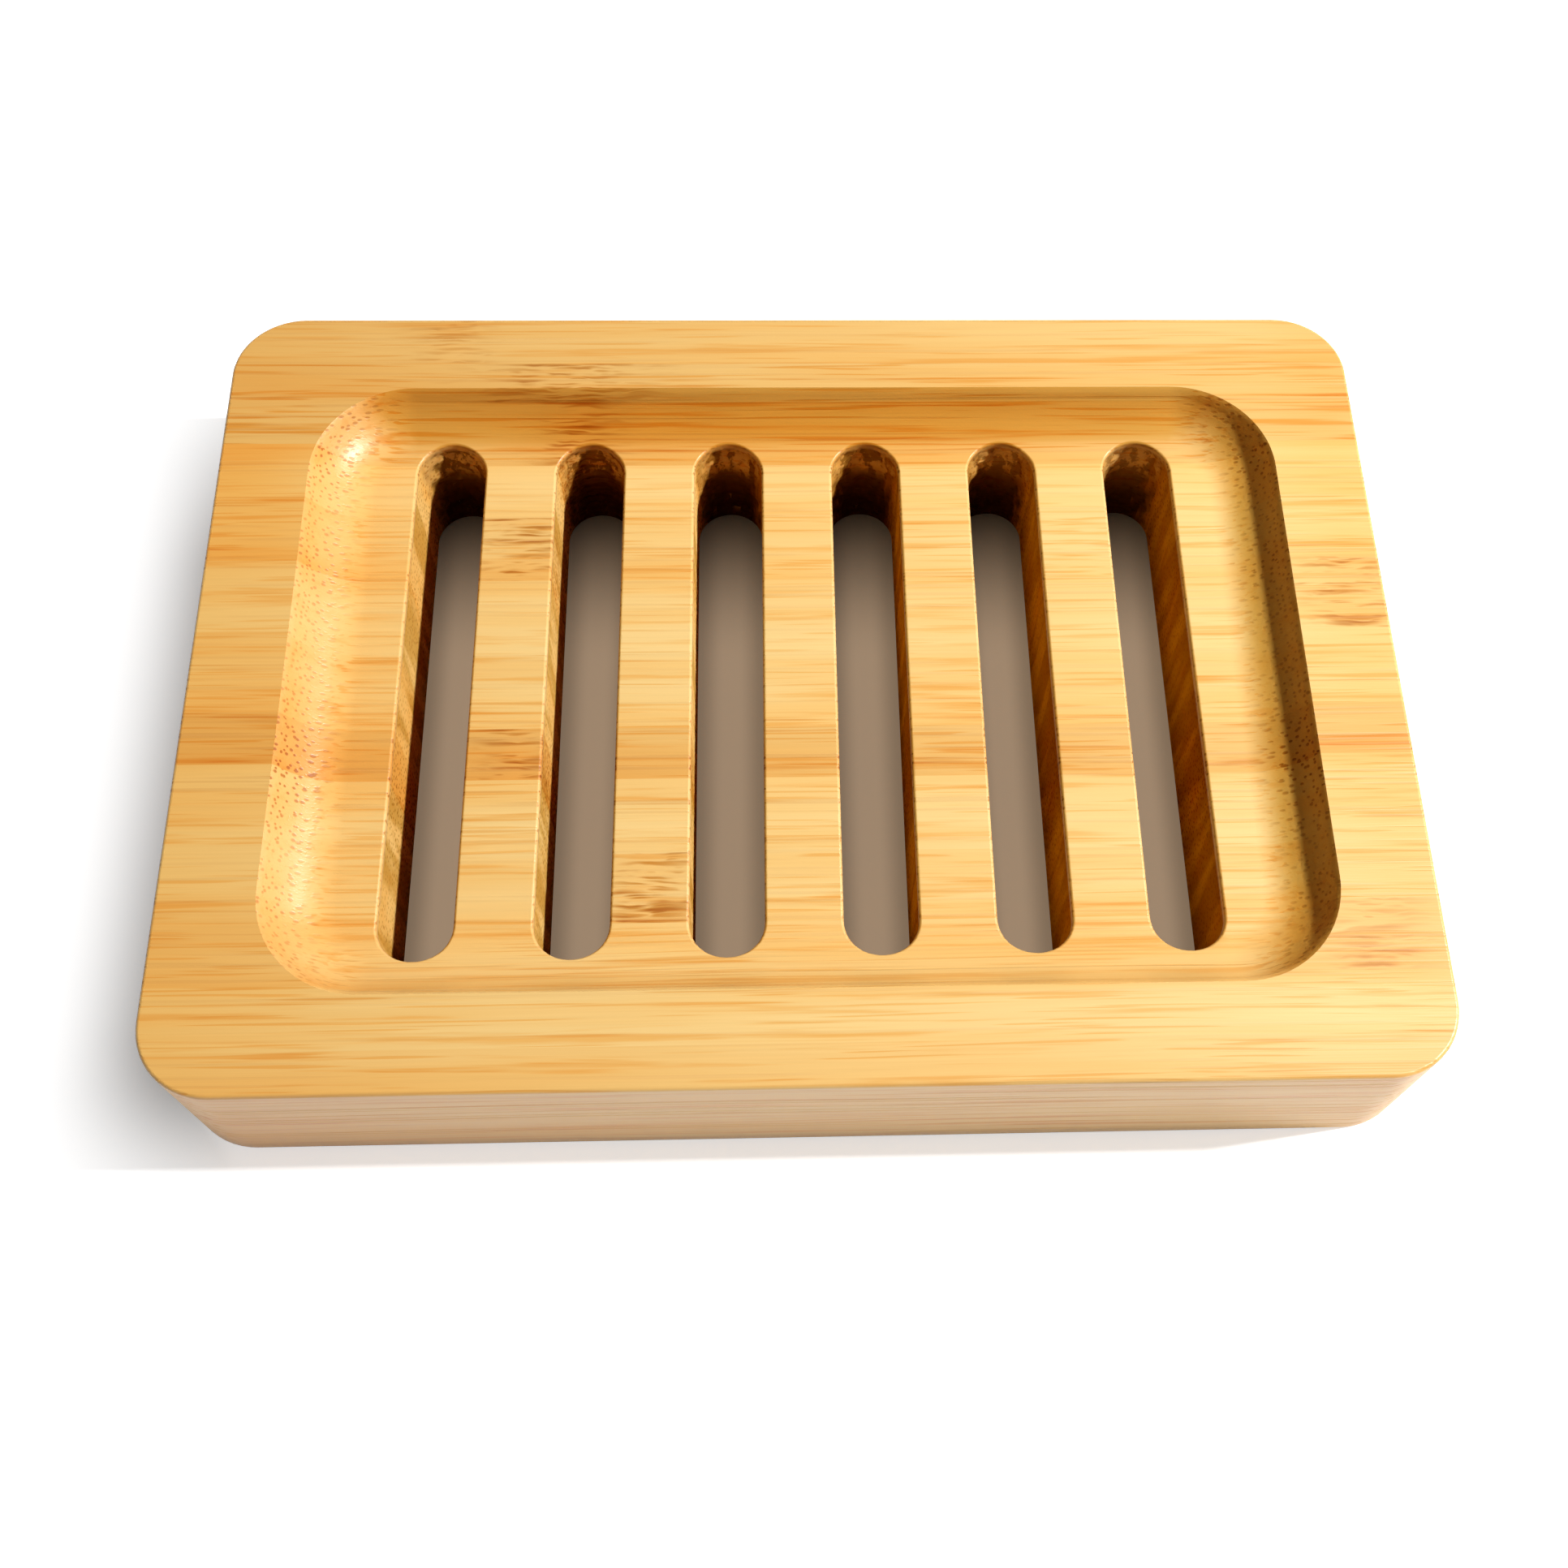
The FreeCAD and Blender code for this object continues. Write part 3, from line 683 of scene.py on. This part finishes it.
def milled_finish():
    """Geometry nodes that tear the slot walls a little, smooth the rounded faces and set the material."""
    name = "milled_finish"
    if name in bpy.data.node_groups:
        return bpy.data.node_groups[name]
    group = bpy.data.node_groups.new(name, "GeometryNodeTree")
    group.interface.new_socket(name="Geometry", in_out="INPUT", socket_type="NodeSocketGeometry")
    for key in ("Wall tear", "End tear", "Tear size"):
        group.interface.new_socket(name=key, in_out="INPUT", socket_type="NodeSocketFloat")
    group.interface.new_socket(name="Seed", in_out="INPUT", socket_type="NodeSocketInt")
    group.interface.new_socket(name="Material", in_out="INPUT", socket_type="NodeSocketMaterial")
    group.interface.new_socket(name="Geometry", in_out="OUTPUT", socket_type="NodeSocketGeometry")
    tree = Tree(group)
    given = tree.add("NodeGroupInput").outputs
    shape = tree.add("GeometryNodeSetPosition", {"Geometry": given["Geometry"],
                                                 "Offset": torn_offset(tree, given)}).outputs[0]
    shape = tree.add("GeometryNodeSetShadeSmooth", {0: shape, "Shade Smooth": True}).outputs[0]
    angle = tree.add("GeometryNodeInputMeshEdgeAngle").outputs["Unsigned Angle"]
    soft = tree.add("FunctionNodeCompare", {0: angle, 1: SOFT_ANGLE}, operation="LESS_THAN").outputs[0]
    shape = tree.add("GeometryNodeSetShadeSmooth", {0: shape, "Shade Smooth": soft}, domain="EDGE").outputs[0]
    shape = tree.add("GeometryNodeRealizeInstances", {0: shape}).outputs[0]
    shape = tree.add("GeometryNodeSetMaterial", {"Geometry": shape, "Material": given["Material"]}).outputs[0]
    tree.add("NodeGroupOutput", {"Geometry": shape})
    return group


def wall_faces(shape):
    """Faces of the slot walls: upright ones at the slot's radius from its middle line."""
    found = []
    for face in shape.faces:
        if abs(face.normal.z) > UPRIGHT_LIMIT:
            continue
        spot = face.calc_center_median()
        slot = min(max(round(spot.x / SLOT_PITCH + HALF_STEP) - HALF_STEP, -OUTER_SLOT), OUTER_SLOT)
        reach = min(max(spot.y, -SLOT_STRAIGHT_HALF), SLOT_STRAIGHT_HALF)
        if math.hypot(spot.x - slot * SLOT_PITCH, spot.y - reach) < SLOT_RADIUS + WALL_SLACK:
            found.append(face)
    return found


def divide_walls(shape, low, high, spacing):
    """Cuts the slot walls into a fine grid, so that they can be torn."""
    for axis in (Vector((0, 0, 1)), Vector((0, 1, 0))):
        start, end = low.dot(axis), high.dot(axis)
        steps = max(1, round((end - start) / spacing))
        for step in range(1, steps):
            faces = wall_faces(shape)
            if not faces:
                return
            edges = {edge for face in faces for edge in face.edges}
            corners = {corner for face in faces for corner in face.verts}
            spot = axis * (start + (end - start) * step / steps)
            bmesh.ops.bisect_plane(shape, geom=[*faces, *edges, *corners], plane_co=spot, plane_no=axis,
                                   dist=CUT_SLACK)


def gridded_mesh(node, spacing):
    """Copy of the mesh of a CAD node, with a fine grid on its slot walls."""
    low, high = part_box(node)
    shape = bmesh.new()
    shape.from_mesh(frame["nodes"][node].data)
    bmesh.ops.remove_doubles(shape, verts=shape.verts, dist=SAME_SPOT)
    bmesh.ops.dissolve_limit(shape, angle_limit=FLAT_ANGLE, verts=shape.verts, edges=shape.edges)
    shape.normal_update()
    divide_walls(shape, low, high, spacing)
    mesh = bpy.data.meshes.new(f"bamboo_{node}")
    shape.to_mesh(mesh)
    shape.free()
    return mesh


def mill(piece, material):
    """Gives a piece the milled finish, even shading and its material, and makes them part of its mesh."""
    milling = bpy.context.scene.dish_milling
    finish = piece.modifiers.new("milled finish", "NODES")
    finish.node_group = milled_finish()
    values = {"Wall tear": milling.wall_tear, "End tear": milling.end_tear, "Tear size": milling.tear_size,
              "Seed": milling.seed, "Material": material}
    for socket in finish.node_group.interface.items_tree:
        if socket.in_out == "INPUT" and socket.name in values:
            finish[socket.identifier] = values[socket.name]
    even = piece.modifiers.new("even shading", "WEIGHTED_NORMAL")
    even.keep_sharp = True
    graph = bpy.context.evaluated_depsgraph_get()
    made = bpy.data.meshes.new_from_object(piece.evaluated_get(graph), depsgraph=graph)
    piece.modifiers.clear()
    plain = piece.data
    piece.data = made
    bpy.data.meshes.remove(plain)


def finish_piece(node, row):
    """Makes the finished piece that stands for one strip, block or bar of the CAD model."""
    mesh = gridded_mesh(node, bpy.context.scene.dish_milling.grid)
    piece = bpy.data.objects.new(f"bamboo_{node}", mesh)
    bpy.context.scene.collection.objects.link(piece)
    mill(piece, row_material(row))
    if not piece.data.polygons:
        raise RuntimeError(f"{node} came out empty")
    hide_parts(node)
    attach(piece, BODY)


def finish_pieces(kind):
    """Finishes every piece of one kind, which is the word in its name after the row."""
    for row in ROWS:
        for node in sorted(MATERIAL_SLOTS):
            if node.startswith(row) and node[len(row) + 1:].startswith(kind):
                finish_piece(node, row)


class SOAP_DISH_OT_strips(bpy.types.Operator):
    """Finishes the whole strips at the back and the front"""

    bl_idname = "soap_dish.strips"
    bl_label = "Whole strips"

    def execute(self, context):
        finish_pieces("strip")
        return {"FINISHED"}


class SOAP_DISH_OT_blocks(bpy.types.Operator):
    """Finishes the blocks at the left and right ends of the slotted rows"""

    bl_idname = "soap_dish.blocks"
    bl_label = "End blocks"

    def execute(self, context):
        finish_pieces("left_end")
        finish_pieces("right_end")
        return {"FINISHED"}


class SOAP_DISH_OT_bars(bpy.types.Operator):
    """Finishes the short bars between the slots"""

    bl_idname = "soap_dish.bars"
    bl_label = "Bars between the slots"

    def execute(self, context):
        finish_pieces("bar")
        return {"FINISHED"}


def seen_rays(tree):
    """1 for the rays that see a background: those of the camera and of shiny and clear surfaces."""
    path = tree.add("ShaderNodeLightPath").outputs
    shiny = tree.math("MAXIMUM", path["Is Glossy Ray"], path["Is Transmission Ray"])
    return tree.math("MAXIMUM", path["Is Camera Ray"], shiny)


def footprint_distance(tree, place):
    """Distance on the floor from the outline of the dish, below zero inside it."""
    x, y, z = tree.parts(place)
    half = (CAD_BOX[1] - CAD_BOX[0]) / 2
    beyond = [tree.math("MAXIMUM", tree.math("SUBTRACT", tree.math("ABSOLUTE", way), side - FOOT_CORNER), 0.0)
              for way, side in ((x, half.x), (y, half.y))]
    squares = [tree.math("MULTIPLY", way, way) for way in beyond]
    return tree.math("SUBTRACT", tree.math("SQRT", tree.math("ADD", *squares)), FOOT_CORNER)


def floor_glow(tree, place, away, outside):
    """Glow that fills the shadow: faint left of the dish, stronger beside it, dim in the slots, where it is
    painted light on the ground that fades into painted shade towards the back ends and the walls.
    """
    x, y, z = tree.parts(place)
    low, high = CAD_BOX
    left = tree.remap(x, *(low.x + step for step in LEFT_STEP), GLOW_LEFT, GLOW_BESIDE)
    front = tree.remap(y, *(low.y + step for step in FRONT_STEP), GLOW_BESIDE, GLOW_LEFT)
    back = tree.remap(y, *(high.y + step for step in BACK_STEP), GLOW_LEFT, GLOW_BESIDE)
    nearby = tree.math("MAXIMUM", left, tree.math("MAXIMUM", front, back))
    rising = tree.remap(away, 0.0, GLOW_REACH, nearby, 1.0)
    under = tree.remap(y, *(SLOT_STRAIGHT_HALF + step for step in SLOT_BACK_STEP), GLOW_UNDER, 0.0)
    aside = tree.math("ABSOLUTE", tree.math("SUBTRACT", x, slot_middle(tree, x)))
    sides = tree.remap(aside, *(SLOT_RADIUS * step for step in SLOT_SIDE_STEP), *SLOT_SIDE_GLOW)
    return tree.mix(outside, tree.math("MULTIPLY", under, sides), rising)


def floor_material():
    """White floor that keeps the shadow of the dish and is white to the camera around it, darker under the
    dish as painted shade, with a warm glow there as painted light.
    """
    material = bpy.data.materials.new("white_floor")
    material.use_nodes = True
    tree = Tree(material.node_tree)
    material.node_tree.nodes.clear()
    place = tree.add("ShaderNodeTexCoord").outputs["Object"]
    away = footprint_distance(tree, place)
    outside = tree.remap(away, *OUTSIDE_STEP)

    speckle = tree.math("MULTIPLY_ADD", tree.noise(place, SPECKLES_PER_M)["Fac"], SPECKLE_LIGHT, SPECKLE_DARK)
    paleness = tree.math("MULTIPLY", speckle, tree.mix(outside, FLOOR_SHADE_UNDER, 1.0))
    matt = tree.add("ShaderNodeBsdfDiffuse", {"Color": tree.scale(FLOOR_COLOUR, paleness)}).outputs[0]
    warm = tree.add("ShaderNodeMix", {0: outside, 6: (*UNDER_COLOUR, 1.0), 7: WHITE}, data_type="RGBA")
    strength = tree.math("MULTIPLY", seen_rays(tree), floor_glow(tree, place, away, outside))
    glow = tree.add("ShaderNodeEmission", {"Color": warm.outputs[2], "Strength": strength}).outputs[0]
    both = tree.add("ShaderNodeAddShader", {0: matt, 1: glow}).outputs[0]
    tree.add("ShaderNodeOutputMaterial", {"Surface": both})
    return material


def lay_floor(size):
    """Square floor just below the dish."""
    half = size / 2
    mesh = bpy.data.meshes.new("floor")
    corners = [(x * half, y * half, -FLOOR_GAP) for x, y in ((-1, -1), (1, -1), (1, 1), (-1, 1))]
    mesh.from_pydata(corners, [], [(0, 1, 2, 3)])
    mesh.materials.append(floor_material())
    floor = bpy.data.objects.new("floor", mesh)
    bpy.context.scene.collection.objects.link(floor)


def white_world(strength):
    """Faint even light from all sides, with a backdrop that is white at the horizon and dimmer above."""
    world = bpy.data.worlds.new("white_world")
    world.use_nodes = True
    tree = Tree(world.node_tree)
    world.node_tree.nodes.clear()
    rise = tree.parts(tree.add("ShaderNodeTexCoord").outputs["Generated"])[2]
    backdrop = tree.remap(rise, *BACKDROP_RISE, 1.0, OVERHEAD)
    level = tree.mix(seen_rays(tree), strength, backdrop)
    shade = tree.add("ShaderNodeBackground", {"Color": WHITE, "Strength": level})
    tree.add("ShaderNodeOutputWorld", {"Surface": shade.outputs[0]})
    bpy.context.scene.world = world


def lamp(name, direction, distance, size, power):
    """Square lamp that points at the dish from a direction, given as azimuth from +X and elevation."""
    light = bpy.data.lights.new(name, "AREA")
    light.shape = "SQUARE"
    light.size = size
    light.energy = power
    turn, rise = (math.radians(angle) for angle in direction)
    towards = Vector((math.cos(rise) * math.cos(turn), math.cos(rise) * math.sin(turn), math.sin(rise)))
    stand = bpy.data.objects.new(name, light)
    aim = towards.to_track_quat("Z", "Y").to_matrix().to_4x4()
    stand.matrix_world = Matrix.Translation(towards * distance) @ aim
    bpy.context.scene.collection.objects.link(stand)


def photo_camera():
    """Camera at the angle of the photograph."""
    data = bpy.data.cameras.new("camera")
    data.sensor_fit = "HORIZONTAL"
    data.sensor_width = SENSOR
    data.lens = LENS
    data.shift_x, data.shift_y = LENS_SHIFT
    data.clip_start = NEAREST_SEEN
    camera = bpy.data.objects.new("camera", data)
    pose = Matrix.Translation(Vector(CAMERA_PLACE_MM) * MM)
    for angle, axis in CAMERA_TURNS:
        pose = pose @ Matrix.Rotation(math.radians(angle), 4, axis)
    camera.matrix_world = pose
    bpy.context.scene.collection.objects.link(camera)
    bpy.context.scene.camera = camera


class SOAP_DISH_OT_stage(bpy.types.Operator):
    """Lays the floor and sets the lamps and the camera"""

    bl_idname = "soap_dish.stage"
    bl_label = "Stage"

    def execute(self, context):
        stage = context.scene.dish_stage
        lay_floor(stage.floor_size)
        white_world(stage.sky)
        lamp("key", KEY_DIRECTION, stage.key_distance, stage.key_size, stage.key_power)
        lamp("soft", SOFT_DIRECTION, SOFT_DISTANCE, SOFT_SIZE, stage.soft_power)
        photo_camera()
        context.scene.view_settings.view_transform = "Standard"
        return {"FINISHED"}


class SOAP_DISH_PT_panel(bpy.types.Panel):
    """Lists the settings and the steps that make the soap dish"""

    bl_label = "Soap dish"
    bl_idname = "SOAP_DISH_PT_panel"
    bl_space_type = "VIEW_3D"
    bl_region_type = "UI"
    bl_category = "Soap dish"

    def draw(self, context):
        for group in ("dish_tones", "dish_milling", "dish_stage"):
            settings = getattr(context.scene, group)
            box = self.layout.box()
            for name in settings.bl_rna.properties.keys():
                if name not in ("rna_type", "name"):
                    box.prop(settings, name)
        for step in STEPS:
            self.layout.operator(step.bl_idname)


STEPS = (SOAP_DISH_OT_strips, SOAP_DISH_OT_blocks, SOAP_DISH_OT_bars, SOAP_DISH_OT_stage)
CLASSES = (BambooTones, MillingFinish, StageSettings, *STEPS, SOAP_DISH_PT_panel)


def register():
    for item in CLASSES:
        bpy.utils.register_class(item)
    bpy.types.Scene.dish_tones = PointerProperty(type=BambooTones)
    bpy.types.Scene.dish_milling = PointerProperty(type=MillingFinish)
    bpy.types.Scene.dish_stage = PointerProperty(type=StageSettings)


def unregister():
    del bpy.types.Scene.dish_stage
    del bpy.types.Scene.dish_milling
    del bpy.types.Scene.dish_tones
    for item in reversed(CLASSES):
        bpy.utils.unregister_class(item)


def main():
    register()
    bpy.ops.soap_dish.strips()
    bpy.ops.soap_dish.blocks()
    bpy.ops.soap_dish.bars()
    bpy.ops.soap_dish.stage()


if __name__ == "__main__":
    main()
